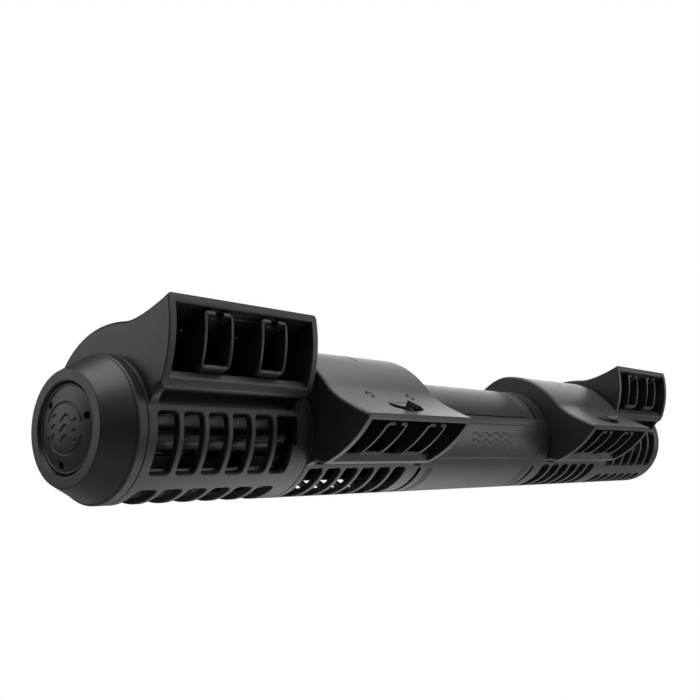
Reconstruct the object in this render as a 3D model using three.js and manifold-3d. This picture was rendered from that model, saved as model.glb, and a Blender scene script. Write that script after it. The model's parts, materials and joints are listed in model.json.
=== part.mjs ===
// A cross-flow wave maker pump for a large aquarium. Millimetres, +Z up.
// The origin is the middle of the rear pad's face, which rests on the tank's glass. +X runs along
// the pump, +Y points into the glass and the outlets blow towards -Y.
// Everything is built about the pump's own long axis and moved forward of the glass at the end.
// The pump is the same on both sides of its middle, so a side is built once, along +X, and mirrored.
// In the cross-sections, u is the distance forward of the axis (-Y) and w is the height above it.

import * as THREE from "three";
import { mergeVertices } from "three/addons/utils/BufferGeometryUtils.js";
import Module from "manifold-3d";

const wasm = await Module();
wasm.setup();

// ---- driving dimensions -------------------------------------------------------------------

const BODY_R = 25; // outer radius of motor, cages and caps
const GAP = 0.3; // clearance between neighbouring pieces
const RIM = 24; // sides of the large rings
const COARSE = 16; // sides of the rings inside
const SMALL = 12; // sides of the small round parts

// Stations along the axis, as distances from the pump's middle.
const HOUSING_END = 40.1;
const CAN_BOTTOM = 9.5;
const CAN_FLANGE = { from: 40.4, to: 41.9 };
const COLLAR = { from: 42.2, to: 48.7, spigotEnd: 56 };
const CAP = { seam: 200.9, cone: 204.5, face: 214.6, spigot: 197.3 };
const IMPELLER = { from: 57.5, to: 196.3 };

// The two outlet units of a side. swivel is how far the unit is turned up at rest, in degrees.
const UNITS = [
  {
    name: "inner",
    swivel: 0,
    cage: { from: 51, to: 124.4 },
    nozzle: { from: 56.6, to: 124 },
    slots: { last: 121.4, width: 8.1, pitch: 10.66 },
    spigotEnd: 129.5,
  },
  {
    name: "outer",
    swivel: 46.5,
    cage: { from: 124.8, to: 200.5 },
    nozzle: { from: 130, to: 199.7 },
    slots: { last: 196.8, width: 8.35, pitch: 10.81 },
    spigotEnd: null,
  },
];

const CAGE_WALL = 2.3;
const SLOT_COLUMNS = 6;
const SLOT_ROWS = [
  { from: -83.5, to: -32.7 },
  { from: -150.1, to: -99.3 },
  { from: -207, to: -165.9 },
]; // degrees, up from the front
const WINDOW = { from: -18, to: 138 }; // the duct's opening in the cage wall, degrees

const NOZZLE_WALL = 2.2;
const NOZZLE_SEAT_R = BODY_R + GAP;
const HOOD_TAIL = { angle: 150, r: 26 };
const HOOD_TOP = [1.6, 33.45];
const HOOD_KNEE = [31.9, 18.05];
const LIP = [53, 6.7];
const MOUTH_FOOT = [29.25, -11.9];
const MOUTH_CENTRE = [13.9, 32.2];
const MOUTH_R = 46.7;
const SIDE_WALL_END = -33; // where the side walls run out on the cage, degrees
const POCKET_PILLAR = 3.3; // side wall left standing at each end of the pocket under the mouth

// The vanes turn about an axis that crosses the hood's top at VANE_TOP and leans forward.
const VANE_TOP = [35.75, 15.1];
const VANE_TILT = 19.1; // degrees
const VANE_OFFSET = 13; // each vane from the middle of its nozzle
const VANE = { halfWidth: 6.5, wall: 1.1, high: -6, low: -22.15, back: -2.5, inset: 0.9 };
const NOTCH = { halfWidth: 1.9, from: 13.9 };
const PIVOT_R = 1;
const CRANK = { reach: 11.6, r: 0.9, top: -4.6 };
const LINK = { high: -4.4, low: -5.4, halfWidth: 1.7, hole: 1.25, postTop: -2.2 };
const LEVER_SLOT = { halfAngle: 34, width: 5 };
const KNOB = { halfLength: 2.9, halfWidth: 4.8, base: -1.2, top: 1.3, stemR: 1.9, stemEnd: -4.1 };

const SHAFT_R = 1.5;
const BORE_R = 1.8;
const BLADES = 12;
const STATOR_SLOTS = 6;
const PLATE = { rIn: 25.35, rOut: 27.5, low: -31, high: 21, halfLength: 55.9 };
const BRACKET = { halfLength: 27, halfHeight: 17, back: 33 };
const MAGNET = { x: 13, r: 9.5, front: 27.6, back: 32.6 };
const COVER = { halfLength: 27, halfHeight: 17, from: 33.3, to: 35 };
const PAD = { halfLength: 25, halfHeight: 15, from: 35.3, to: 38 };
const CABLE = { x: 33, r: 2.4, bend: 6, top: 17 };

// ---- materials ----------------------------------------------------------------------------

const material = (color, roughness, metalness = 0) =>
  new THREE.MeshStandardMaterial({ color, roughness, metalness });
const HOUSING_PLASTIC = material(0x2b2b2d, 0.45);
const VANE_PLASTIC = material(0x262628, 0.5);
const KNOB_PLASTIC = material(0x121213, 0.4);
const IMPELLER_PLASTIC = material(0x1b1b1c, 0.4);
const RUBBER = material(0x18181a, 0.8);
const CERAMIC = material(0xe8e4da, 0.3);
const MAGNET_STEEL = material(0x8d8f93, 0.35, 1);
const CORE_STEEL = material(0x5c5f63, 0.5, 1);
const COPPER = material(0xb5622d, 0.35, 1);

// ---- small tools --------------------------------------------------------------------------

const radians = THREE.MathUtils.degToRad;

// A point of a cross-section at a radius and an angle up from the front.
const polar = (r, degrees) => [r * Math.cos(radians(degrees)), r * Math.sin(radians(degrees))];

// A closed geometry as a solid, whichever way round its outline was drawn.
function solid(geometry) {
  const bare = geometry.clone();
  bare.deleteAttribute("normal");
  bare.deleteAttribute("uv");
  const merged = mergeVertices(bare, 1e-4);
  const vertProperties = merged.attributes.position.array;
  const triVerts = new Uint32Array(merged.index.array);
  const build = () =>
    new wasm.Manifold(new wasm.Mesh({ numProp: 3, vertProperties, triVerts }));
  const made = build();
  if (made.volume() >= 0) return made;
  triVerts.reverse();
  return build();
}

function toGeometry(made) {
  const { vertProperties, triVerts } = made.getMesh();
  return new THREE.BufferGeometry()
    .setAttribute("position", new THREE.BufferAttribute(vertProperties, 3))
    .setIndex(new THREE.BufferAttribute(triVerts, 1));
}

const join = (first, ...others) => others.reduce((sum, next) => sum.add(next), first);
const cut = (first, ...others) => others.reduce((sum, next) => sum.subtract(next), first);

// A (u, w) outline as a prism between two stations along X.
function alongX(shape, from, to, curveSegments = 8) {
  const geometry = new THREE.ExtrudeGeometry(shape, {
    depth: to - from,
    bevelEnabled: false,
    curveSegments,
  });
  const forward = new THREE.Vector3(0, -1, 0);
  const up = new THREE.Vector3(0, 0, 1);
  const back = new THREE.Vector3(-1, 0, 0);
  geometry.applyMatrix4(new THREE.Matrix4().makeBasis(forward, up, back));
  return solid(geometry.translate(to, 0, 0));
}

const outline = (points) => new THREE.Shape(points.map(([u, w]) => new THREE.Vector2(u, w)));
const prismX = (points, from, to) => alongX(outline(points), from, to);

// A closed profile of [r, x] points turned about the X axis.
function turnedX(profile, sides = RIM) {
  const points = profile.map(([r, x]) => new THREE.Vector2(r, x));
  const geometry = new THREE.LatheGeometry(points, sides);
  const x = new THREE.Vector3(1, 0, 0);
  const y = new THREE.Vector3(0, 1, 0);
  const z = new THREE.Vector3(0, 0, 1);
  return solid(geometry.applyMatrix4(new THREE.Matrix4().makeBasis(z, x, y)));
}

function ringX(rIn, rOut, from, to, sides = RIM) {
  return turnedX([[rIn, from], [rOut, from], [rOut, to], [rIn, to], [rIn, from]], sides);
}

function rodX(r, from, to, sides = SMALL) {
  return turnedX([[0, from], [r, from], [r, to], [0, to]], sides);
}

// A round rod along Z, centred on (x, y).
function rodZ(r, x, y, from, to, sides = 8) {
  const geometry = new THREE.CylinderGeometry(r, r, to - from, sides);
  geometry.rotateX(Math.PI / 2);
  return solid(geometry.translate(x, y, (from + to) / 2));
}

// A round rod along Y, centred on (x, z).
function rodY(r, x, z, from, to, sides = SMALL) {
  const geometry = new THREE.CylinderGeometry(r, r, to - from, sides);
  return solid(geometry.translate(x, (from + to) / 2, z));
}

function box(x, y, z) {
  const size = [x, y, z].map(([low, high]) => high - low);
  const middle = [x, y, z].map(([low, high]) => (low + high) / 2);
  return solid(new THREE.BoxGeometry(...size).translate(...middle));
}

// A ring sector between two angles, as a prism along X.
function sectorX(rIn, rOut, low, high, from, to) {
  const shape = new THREE.Shape();
  shape.absarc(0, 0, rOut, radians(low), radians(high), false);
  shape.absarc(0, 0, rIn, radians(high), radians(low), true);
  shape.closePath();
  return alongX(shape, from, to, Math.max(2, Math.round((high - low) / 12)));
}

// A four-cornered wedge between two angles, as a prism along X.
function wedgeX(rIn, rOut, low, high, from, to) {
  return prismX([polar(rIn, low), polar(rOut, low), polar(rOut, high), polar(rIn, high)], from, to);
}

// The same solid set by a matrix.
function placed(made, matrix) {
  return solid(toGeometry(made).applyMatrix4(matrix));
}

function mesh(name, made, finish) {
  const piece = new THREE.Mesh(toGeometry(made), finish);
  piece.geometry.computeVertexNormals();
  piece.name = name;
  return piece;
}

// ---- outlet unit: cage and nozzle -----------------------------------------------------------

// A cutter that passes right through the cage wall between two angles.
function wallCutter(low, high, from, to) {
  const inside = BODY_R - 10;
  const outside = BODY_R + 7;
  const steps = Math.ceil((high - low) / 52);
  const rim = [];
  for (let i = 0; i <= steps; i += 1) rim.push(polar(outside, low + ((high - low) * i) / steps));
  return prismX([...rim, polar(inside, high), polar(inside / 3, (low + high) / 2), polar(inside, low)], from, to);
}

// The spigot at the inner cage's far end, which the outer unit swivels on.
function spigotProfile(cageIn, cageEnd, spigotEnd) {
  const rOut = cageIn - GAP;
  const rIn = rOut - 1.5;
  return [
    [rOut, cageEnd],
    [rOut, spigotEnd],
    [rIn, spigotEnd],
    [rIn, cageEnd - 2.4],
    [cageIn, cageEnd - 2.4],
  ];
}

function cage(unit) {
  const { from, to } = unit.cage;
  const rIn = BODY_R - CAGE_WALL;
  let wall = turnedX([
    [rIn, from],
    [BODY_R, from],
    [BODY_R, to],
    ...(unit.spigotEnd === null ? [[rIn, to]] : spigotProfile(rIn, to, unit.spigotEnd)),
    [rIn, from],
  ]);
  const { last, width, pitch } = unit.slots;
  for (const row of SLOT_ROWS) {
    for (let column = 0; column < SLOT_COLUMNS; column += 1) {
      const end = last - column * pitch;
      wall = wall.subtract(wallCutter(row.from, row.to, end - width, end));
    }
  }
  const inner = NOZZLE_WALL + 1;
  return wall.subtract(
    wallCutter(WINDOW.from, WINDOW.to, unit.nozzle.from + inner, unit.nozzle.to - inner),
  );
}

// The hood from its tail behind the cage, over the top, to the lip of the mouth.
function hoodPath() {
  const path = new THREE.Path();
  const tail = polar(HOOD_TAIL.r, HOOD_TAIL.angle);
  path.moveTo(...tail);
  path.bezierCurveTo(tail[0], tail[1] + 7, HOOD_TOP[0] - 11, HOOD_TOP[1], ...HOOD_TOP);
  path.bezierCurveTo(HOOD_TOP[0] + 13.5, HOOD_TOP[1], HOOD_KNEE[0] - 7.1, HOOD_KNEE[1] + 8.5, ...HOOD_KNEE);
  path.bezierCurveTo(HOOD_KNEE[0] + 2.3, HOOD_KNEE[1] - 2.8, LIP[0] - 6.8, LIP[1] + 2.15, ...LIP);
  return path.getPoints(5).map(({ x, y }) => [x, y]);
}

// The hood's points moved inwards by the wall.
function hoodInside(points) {
  return points.map(([u, w], i) => {
    const [u0, w0] = points[Math.max(i - 1, 0)];
    const [u1, w1] = points[Math.min(i + 1, points.length - 1)];
    const length = Math.hypot(u1 - u0, w1 - w0);
    return [u + (NOZZLE_WALL * (w1 - w0)) / length, w - (NOZZLE_WALL * (u1 - u0)) / length];
  });
}

// The curved mouth, from the lip down to its foot, at a depth behind the rim.
function mouthArc(depth, steps = 4) {
  const angleOf = ([u, w]) => Math.atan2(w - MOUTH_CENTRE[1], u - MOUTH_CENTRE[0]);
  const start = angleOf(LIP);
  const end = angleOf(MOUTH_FOOT);
  const points = [];
  for (let i = 0; i <= steps; i += 1) {
    const angle = start + ((end - start) * i) / steps;
    points.push([
      MOUTH_CENTRE[0] + (MOUTH_R - depth) * Math.cos(angle),
      MOUTH_CENTRE[1] + (MOUTH_R - depth) * Math.sin(angle),
    ]);
  }
  return points;
}

// Steps from a point by a distance forward along the vanes' tilt and a height across it.
function tilted([u, w], forward, height) {
  const c = Math.cos(radians(VANE_TILT));
  const s = Math.sin(radians(VANE_TILT));
  return [u + forward * c + height * s, w - forward * s + height * c];
}

// The frame that the vanes of a nozzle are built in: its origin on the hood, midway between the
// pivots, its Z along the pivots and its -Y forward.
const vaneFrame = (middle) =>
  new THREE.Matrix4()
    .makeTranslation(middle, -VANE_TOP[0], VANE_TOP[1])
    .multiply(new THREE.Matrix4().makeRotationX(radians(VANE_TILT)));

// The curved slot that the lever knob travels in, as a cutter in the vane frame.
function leverSlot() {
  const half = radians(LEVER_SLOT.halfAngle);
  const { width } = LEVER_SLOT;
  const down = -Math.PI / 2;
  const end = (side) => [CRANK.reach * Math.sin(side * half), -CRANK.reach * Math.cos(half)];
  const shape = new THREE.Shape();
  shape.absarc(0, 0, CRANK.reach + width / 2, down - half, down + half, false);
  shape.absarc(...end(1), width / 2, down + half, down + half + Math.PI, false);
  shape.absarc(0, 0, CRANK.reach - width / 2, down + half, down - half, true);
  shape.absarc(...end(-1), width / 2, down - half + Math.PI, down - half + 2 * Math.PI, false);
  const depth = 12;
  const options = { depth, bevelEnabled: false, curveSegments: 4 };
  return solid(new THREE.ExtrudeGeometry(shape, options).translate(0, 0, -depth / 2));
}

function nozzle(unit) {
  const { from, to } = unit.nozzle;
  const middle = (from + to) / 2;
  const hood = hoodPath();
  const tailFoot = polar(BODY_R - 4, HOOD_TAIL.angle);
  const wallFoot = polar(BODY_R - 2, SIDE_WALL_END);
  const body = prismX([...hood, ...mouthArc(0).slice(1), wallFoot, [0, 0], tailFoot], from, to);

  const beyond = 12;
  const hoodLine = hoodInside(hood).slice(2);
  const lipInside = tilted(hoodLine.at(-1), beyond, -0.5);
  const floorFront = tilted(MOUTH_FOOT, beyond, NOZZLE_WALL);
  const floorBack = tilted(MOUTH_FOOT, -beyond, NOZZLE_WALL);
  const duct = prismX(
    [...hoodLine, lipInside, floorFront, floorBack],
    from + NOZZLE_WALL,
    to - NOZZLE_WALL,
  );
  const pocket = prismX(
    [
      tilted(MOUTH_FOOT, beyond, 0),
      tilted(MOUTH_FOOT, -beyond, 0),
      tilted(MOUTH_FOOT, -beyond, -9),
      tilted(MOUTH_FOOT, beyond, -9),
    ],
    from + POCKET_PILLAR,
    to - POCKET_PILLAR,
  );
  const seat = rodX(NOZZLE_SEAT_R, from - 5, to + 5, RIM);
  const holeR = PIVOT_R + GAP;
  const frame = vaneFrame(middle);
  const holes = [-VANE_OFFSET, VANE_OFFSET].map((x) => placed(rodZ(holeR, x, 0, -32, 8), frame));
  return cut(body, duct, pocket, seat, placed(leverSlot(), frame), ...holes);
}

// ---- outlet unit: vanes, link and knob, built in the vane frame ------------------------------

function vane() {
  const { halfWidth, wall, high, low, back, inset } = VANE;
  // The mouth's centre in the vane frame.
  const c = Math.cos(radians(VANE_TILT));
  const s = Math.sin(radians(VANE_TILT));
  const du = MOUTH_CENTRE[0] - VANE_TOP[0];
  const dw = MOUTH_CENTRE[1] - VANE_TOP[1];
  const centre = [du * c - dw * s, du * s + dw * c];
  const frontAt = (height) =>
    centre[0] + Math.sqrt((MOUTH_R - inset) ** 2 - (height - centre[1]) ** 2);
  const steps = 3;
  const front = [];
  for (let i = 0; i <= steps; i += 1) {
    const height = high + ((low - high) * i) / steps;
    front.push([frontAt(height), height]);
  }
  const block = prismX([[back, high], ...front, [back, low]], -halfWidth, halfWidth);
  const inside = halfWidth - wall;
  const hollow = box([-inside, inside], [-30, 10], [low + wall, high - wall]);
  const notch = box([-NOTCH.halfWidth, NOTCH.halfWidth], [-30, -NOTCH.from], [high - 2 * wall, high + 1]);
  return join(
    cut(block, hollow, notch),
    rodZ(PIVOT_R, 0, 0, high - wall / 2, -GAP),
    rodZ(PIVOT_R, 0, 0, low - 4.6, low + wall / 2),
    rodZ(CRANK.r, 0, -CRANK.reach, high - wall / 2, CRANK.top),
  );
}

function louverLink() {
  const end = VANE_OFFSET;
  const y = [-CRANK.reach - LINK.halfWidth, -CRANK.reach + LINK.halfWidth];
  const z = [LINK.low, LINK.high];
  const eyeR = LINK.halfWidth + 0.5;
  const eyes = [-end, end].map((x) => rodZ(eyeR, x, -CRANK.reach, ...z));
  const holes = [-end, end].map((x) => rodZ(LINK.hole, x, -CRANK.reach, LINK.low - 1, LINK.high + 1));
  const post = rodZ(CRANK.r, 0, -CRANK.reach, LINK.low + 0.2, LINK.postTop);
  return cut(join(box([-end, end], y, z), ...eyes, post), ...holes);
}

// A lozenge thumb piece on a stem that fits over the link's post.
function louverKnob() {
  const { halfLength, halfWidth, base, top, stemR, stemEnd } = KNOB;
  const lozenge = outline([[halfLength, 0], [0, halfWidth], [-halfLength, 0], [0, -halfWidth]]);
  const options = { depth: top - base, bevelEnabled: false };
  const head = new THREE.ExtrudeGeometry(lozenge, options);
  head.rotateZ(-Math.PI / 2).translate(0, -CRANK.reach, base);
  const socket = rodZ(CRANK.r + GAP, 0, -CRANK.reach, stemEnd - 1, LINK.postTop + GAP);
  const stem = rodZ(stemR, 0, -CRANK.reach, stemEnd, base + 0.5);
  return cut(join(solid(head), stem), socket);
}

function outletUnit(side, unit) {
  const group = new THREE.Group();
  const name = `${side}_${unit.name}`;
  group.rotation.x = -radians(unit.swivel);
  group.add(mesh(`${name}_cage`, cage(unit), HOUSING_PLASTIC));
  group.add(mesh(`${name}_nozzle`, nozzle(unit), HOUSING_PLASTIC));

  const louvers = new THREE.Group();
  louvers.applyMatrix4(vaneFrame((unit.nozzle.from + unit.nozzle.to) / 2));
  for (const [letter, x] of [["a", -VANE_OFFSET], ["b", VANE_OFFSET]]) {
    const blade = mesh(`${name}_vane_${letter}`, vane(), VANE_PLASTIC);
    blade.position.x = x;
    louvers.add(blade);
  }
  louvers.add(mesh(`${name}_louver_link`, louverLink(), VANE_PLASTIC));
  louvers.add(mesh(`${name}_louver_knob`, louverKnob(), KNOB_PLASTIC));
  group.add(louvers);
  return group;
}

// ---- end cap --------------------------------------------------------------------------------

function endCap() {
  const { seam, cone, face, spigot } = CAP;
  const spigotR = BODY_R - CAGE_WALL - GAP;
  return turnedX([
    [0, face - 2],
    [15.9, face - 2],
    [15.9, face],
    [19.2, face],
    [BODY_R, cone],
    [BODY_R, seam],
    [spigotR, seam],
    [spigotR, spigot],
    [spigotR - 1.8, spigot],
    [18, face - 4.2],
    [5.2, face - 4.2],
    [5.2, face - 11],
    [3.3, face - 11],
    [3.3, face - 4.2],
    [0, face - 4.2],
  ]);
}

// The crowned disc in the cap's face, with its three small holes.
function capDisc() {
  const r = 14.9;
  const edge = CAP.face - 0.5;
  const crown = 1.5;
  const steps = 4;
  const profile = [[0, CAP.face - 1.7], [r, CAP.face - 1.7]];
  for (let i = 0; i < steps; i += 1) {
    const across = 1 - i / steps;
    profile.push([r * across, edge + crown * (1 - across * across)]);
  }
  profile.push([0, edge + crown]);
  const holeCircle = 13.2;
  const holes = [30, 150, 270].map((angle) => {
    const [u, w] = polar(holeCircle, angle);
    const drill = new THREE.CylinderGeometry(1.1, 1.1, 8, 6).rotateZ(Math.PI / 2);
    return solid(drill.translate(CAP.face, -u, w));
  });
  return cut(turnedX(profile), ...holes);
}

// ---- rotor ------------------------------------------------------------------------------------

function impeller() {
  const { from, to } = IMPELLER;
  const discR = 19.8;
  const discs = [
    ringX(BORE_R, discR, from, from + 2, SMALL),
    ringX(BORE_R, discR, to - 2, to, SMALL),
    ringX(14.5, discR, 126.2, 128.2, SMALL),
  ];
  const blades = [];
  const thick = 5; // degrees of arc
  for (let i = 0; i < BLADES; i += 1) {
    const at = (360 / BLADES) * i;
    const face = [[15.2, 0], [19.3, 15]];
    const front = face.map(([r, sweep]) => polar(r, at + sweep));
    const rear = face.map(([r, sweep]) => polar(r, at + sweep + thick)).reverse();
    blades.push(prismX([...front, ...rear], from + 1, to - 1));
  }
  return join(...discs, ...blades);
}

// The sleeve that carries the magnet and drives the impeller's inner disc.
function magnetCarrier() {
  const end = IMPELLER.from - GAP;
  return join(ringX(BORE_R, 4, 14.8, end, SMALL), ringX(BORE_R, 8.5, end - 2, end, SMALL));
}

// ---- drive --------------------------------------------------------------------------------------

// The thin cup between the dry stator and the wet rotor.
function rotorCan() {
  const { from, to } = CAN_FLANGE;
  return turnedX([
    [0, CAN_BOTTOM],
    [11, CAN_BOTTOM],
    [11, from],
    [BODY_R, from],
    [BODY_R, to],
    [9.8, to],
    [9.8, CAN_BOTTOM + 1.4],
    [5.4, CAN_BOTTOM + 1.4],
    [5.4, CAN_BOTTOM + 4.6],
    [3.9, CAN_BOTTOM + 4.6],
    [3.9, CAN_BOTTOM + 1.4],
    [0, CAN_BOTTOM + 1.4],
  ], COARSE);
}

function statorCore() {
  const slots = [];
  for (let i = 0; i < STATOR_SLOTS; i += 1) {
    const at = (360 / STATOR_SLOTS) * i;
    slots.push(wedgeX(13, 20.3, at - 19, at + 19, 10, 36));
    slots.push(wedgeX(10, 14, at - 5, at + 5, 10, 36));
  }
  return cut(ringX(11.4, 21.9, 13, 33, COARSE), ...slots);
}

// The coils' turns through the slots, joined by the end turns at both ends of the core.
function statorWinding() {
  const teeth = [];
  for (let i = 0; i < STATOR_SLOTS; i += 1) {
    const at = (360 / STATOR_SLOTS) * (i + 0.5);
    teeth.push(wedgeX(12, 21, at - 13, at + 13, 12.7, 33.3));
  }
  return cut(ringX(13.6, 18.8, 11.2, 35.6, COARSE), ...teeth);
}

function sealRing() {
  const profile = [];
  const sides = 6;
  for (let i = 0; i <= sides; i += 1) {
    const angle = (2 * Math.PI * (i % sides)) / sides;
    profile.push([21.2 + 0.8 * Math.cos(angle), 39 + 0.8 * Math.sin(angle)]);
  }
  return turnedX(profile, COARSE);
}

// The ring that clamps the can to the housing and carries the inner cage on its spigot.
function collar() {
  const spigotR = BODY_R - CAGE_WALL - GAP;
  const bore = 19.8;
  return turnedX([
    [bore, COLLAR.from],
    [BODY_R, COLLAR.from],
    [BODY_R, COLLAR.to],
    [spigotR, COLLAR.to],
    [spigotR, COLLAR.spigotEnd],
    [bore, COLLAR.spigotEnd],
    [bore, COLLAR.from],
  ], COARSE);
}

function halfPump(side) {
  const group = new THREE.Group();
  for (const unit of UNITS) group.add(outletUnit(side, unit));
  const add = (name, made, finish) => group.add(mesh(`${side}_${name}`, made, finish));
  add("end_cap", endCap(), HOUSING_PLASTIC);
  add("cap_disc", capDisc(), HOUSING_PLASTIC);
  add("outer_bush", ringX(BORE_R, 3, CAP.face - 10.6, CAP.face - 4.7, SMALL), CERAMIC);
  add("impeller", impeller(), IMPELLER_PLASTIC);
  add("shaft", rodX(SHAFT_R, CAN_BOTTOM + 2, CAP.face - 5), CERAMIC);
  add("magnet_carrier", magnetCarrier(), IMPELLER_PLASTIC);
  add("rotor_magnet", ringX(4.3, 8.9, 15.2, 36, SMALL), MAGNET_STEEL);
  add("inner_bush", ringX(BORE_R, 3.6, CAN_BOTTOM + 1.7, CAN_BOTTOM + 4.6, SMALL), CERAMIC);
  add("rotor_can", rotorCan(), HOUSING_PLASTIC);
  add("can_seal", sealRing(), RUBBER);
  add("stator_core", statorCore(), CORE_STEEL);
  add("stator_winding", statorWinding(), COPPER);
  add("collar", collar(), HOUSING_PLASTIC);
  return group;
}

// ---- motor housing, front plate, lead and magnet mount ----------------------------------------------

function motorHousing() {
  const tube = ringX(BODY_R - 2.6, BODY_R, -HOUSING_END, HOUSING_END);
  return tube.subtract(rodY(3.4, CABLE.x, 0, 15, 30));
}

function mountBracket() {
  const { halfLength, halfHeight, back } = BRACKET;
  const block = box([-halfLength, halfLength], [12, back], [-halfHeight, halfHeight]);
  const pockets = [-MAGNET.x, MAGNET.x].map((x) =>
    rodY(MAGNET.r + GAP, x, 0, MAGNET.front - GAP, back + 1),
  );
  return cut(block, rodX(BODY_R + GAP, -40, 40, RIM), ...pockets);
}

// The plug that seals the lead into the housing.
function cableGland() {
  const sleeve = rodY(3.1, CABLE.x, 0, 22.8, 27);
  const flange = rodY(4.2, CABLE.x, 0, 25.3, 27.4);
  return cut(join(sleeve, flange), rodY(CABLE.r + GAP, CABLE.x, 0, 20, 30));
}

// The power lead, from inside the gland, turning up behind the motor; it is cut short.
function cable() {
  const { x, r, bend, top } = CABLE;
  const path = new THREE.CurvePath();
  const at = (y, z) => new THREE.Vector3(x, y, z);
  const turn = 28;
  path.add(new THREE.LineCurve3(at(23, 0), at(turn, 0)));
  path.add(new THREE.QuadraticBezierCurve3(at(turn, 0), at(turn + bend, 0), at(turn + bend, bend)));
  path.add(new THREE.LineCurve3(at(turn + bend, bend), at(turn + bend, top)));
  const section = new THREE.Shape().absarc(0, 0, r, 0, 2 * Math.PI, false);
  const options = { steps: 10, extrudePath: path, curveSegments: 4, bevelEnabled: false };
  return solid(new THREE.ExtrudeGeometry(section, options));
}

function frontPlate() {
  const { halfLength, rIn, rOut, low, high } = PLATE;
  return sectorX(rIn, rOut, low, high, -halfLength, halfLength);
}

// A flat plate of the mount, square to Y and centred on the pump's axis.
function mountPlate({ halfLength, halfHeight, from, to }) {
  return box([-halfLength, halfLength], [from, to], [-halfHeight, halfHeight]);
}

function mountMagnet(x) {
  return rodY(MAGNET.r, x, 0, MAGNET.front, MAGNET.back);
}

function motor() {
  const group = new THREE.Group();
  const add = (name, made, finish) => group.add(mesh(name, made, finish));
  add("motor_housing", motorHousing(), HOUSING_PLASTIC);
  add("front_plate", frontPlate(), HOUSING_PLASTIC);
  add("mount_bracket", mountBracket(), HOUSING_PLASTIC);
  add("left_mount_magnet", mountMagnet(-MAGNET.x), MAGNET_STEEL);
  add("right_mount_magnet", mountMagnet(MAGNET.x), MAGNET_STEEL);
  add("mount_cover", mountPlate(COVER), HOUSING_PLASTIC);
  add("mount_pad", mountPlate(PAD), RUBBER);
  add("cable_gland", cableGland(), RUBBER);
  add("cable", cable(), RUBBER);
  return group;
}

// ---- the whole pump ---------------------------------------------------------------------------------

const left = halfPump("left");
left.scale.x = -1;
const onAxis = new THREE.Group();
onAxis.add(motor(), halfPump("right"), left);
onAxis.position.y = -PAD.to;
const pump = new THREE.Group();
pump.add(onAxis);

export default pump;
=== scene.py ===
import json
import math

import bmesh
import bpy
from mathutils import Matrix, Vector


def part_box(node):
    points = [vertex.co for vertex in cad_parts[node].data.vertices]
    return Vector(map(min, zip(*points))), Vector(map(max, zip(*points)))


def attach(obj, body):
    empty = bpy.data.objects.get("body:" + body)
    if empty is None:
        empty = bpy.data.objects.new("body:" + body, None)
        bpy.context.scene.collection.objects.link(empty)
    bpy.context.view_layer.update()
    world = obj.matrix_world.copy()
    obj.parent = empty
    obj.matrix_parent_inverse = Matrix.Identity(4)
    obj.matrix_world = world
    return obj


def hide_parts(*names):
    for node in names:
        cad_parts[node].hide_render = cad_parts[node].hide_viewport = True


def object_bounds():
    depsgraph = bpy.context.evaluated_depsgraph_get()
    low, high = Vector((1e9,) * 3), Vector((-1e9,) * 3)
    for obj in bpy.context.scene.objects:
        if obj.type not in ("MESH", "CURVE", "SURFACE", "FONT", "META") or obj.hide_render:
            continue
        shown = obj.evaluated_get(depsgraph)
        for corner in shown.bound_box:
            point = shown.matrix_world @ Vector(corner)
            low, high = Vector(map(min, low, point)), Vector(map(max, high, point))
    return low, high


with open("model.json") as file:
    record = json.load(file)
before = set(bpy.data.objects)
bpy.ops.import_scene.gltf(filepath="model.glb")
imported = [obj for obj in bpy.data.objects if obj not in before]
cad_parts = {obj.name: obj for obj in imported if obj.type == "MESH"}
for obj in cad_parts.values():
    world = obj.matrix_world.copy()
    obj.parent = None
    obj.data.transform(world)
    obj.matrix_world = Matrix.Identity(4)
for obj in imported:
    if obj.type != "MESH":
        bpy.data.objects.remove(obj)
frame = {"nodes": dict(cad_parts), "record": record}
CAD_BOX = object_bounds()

# The looks of a cross-flow wave maker pump. Shapes are worked out in millimetres about the pump's
# own axis: x along it, u forward of it and w above it. They are set into the frame in metres.
# A side is built once, for +X, and mirrored.

MM = 0.001

housing_low, housing_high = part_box("motor_housing")
AXIS = (housing_low + housing_high) / 2
BODY_R = round((housing_high.z - housing_low.z) / 2 / MM, 2)


def span(node, way=0):
    """The lowest and highest place of a CAD node along a frame axis, in mm from the pump's axis."""
    low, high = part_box(node)
    return [round((corner[way] - AXIS[way]) / MM, 2) for corner in (low, high)]


# ---- measures ----

ROUND = 192  # sides of the large rings
SAME = 1e-4  # points closer than this are one point
NEARLY_SAME = 1e-3  # the same, after a boolean
WALL = 2.3  # of the cages
GAP = 0.3  # round a spigot, and between the motor and its saddle
SEAM = 0.25
SPIGOT_R = BODY_R - WALL - GAP

INNER_CAGE = [span("right_inner_cage")[0], span("right_outer_cage")[0] - SEAM]
OUTER_CAGE = [span("right_outer_cage")[0], span("right_outer_cage")[1] + 0.1]
UNITS = {
    "inner": {
        "swivel": 0,
        "cage": INNER_CAGE,
        "nozzle": span("right_inner_nozzle"),
        "slots": {"last": 121.4, "width": 8.1, "pitch": 10.66},
        "spigot_end": span("right_inner_cage")[1],
    },
    "outer": {
        "swivel": 46.5,
        "cage": OUTER_CAGE,
        "nozzle": span("right_outer_nozzle"),
        "slots": {"last": 196.8, "width": 8.35, "pitch": 10.81},
        "spigot_end": None,
    },
}
SLOT_COLUMNS = 6
SLOT_ROWS = [(-83.5, -32.7), (-150.1, -99.3), (-207, -165.9)]  # degrees up from the front
SLOT_CORNER = 2.0
SLOT_FLARE = 0.5
WINDOW = (-12, 138)  # the duct's opening in the cage wall

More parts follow.
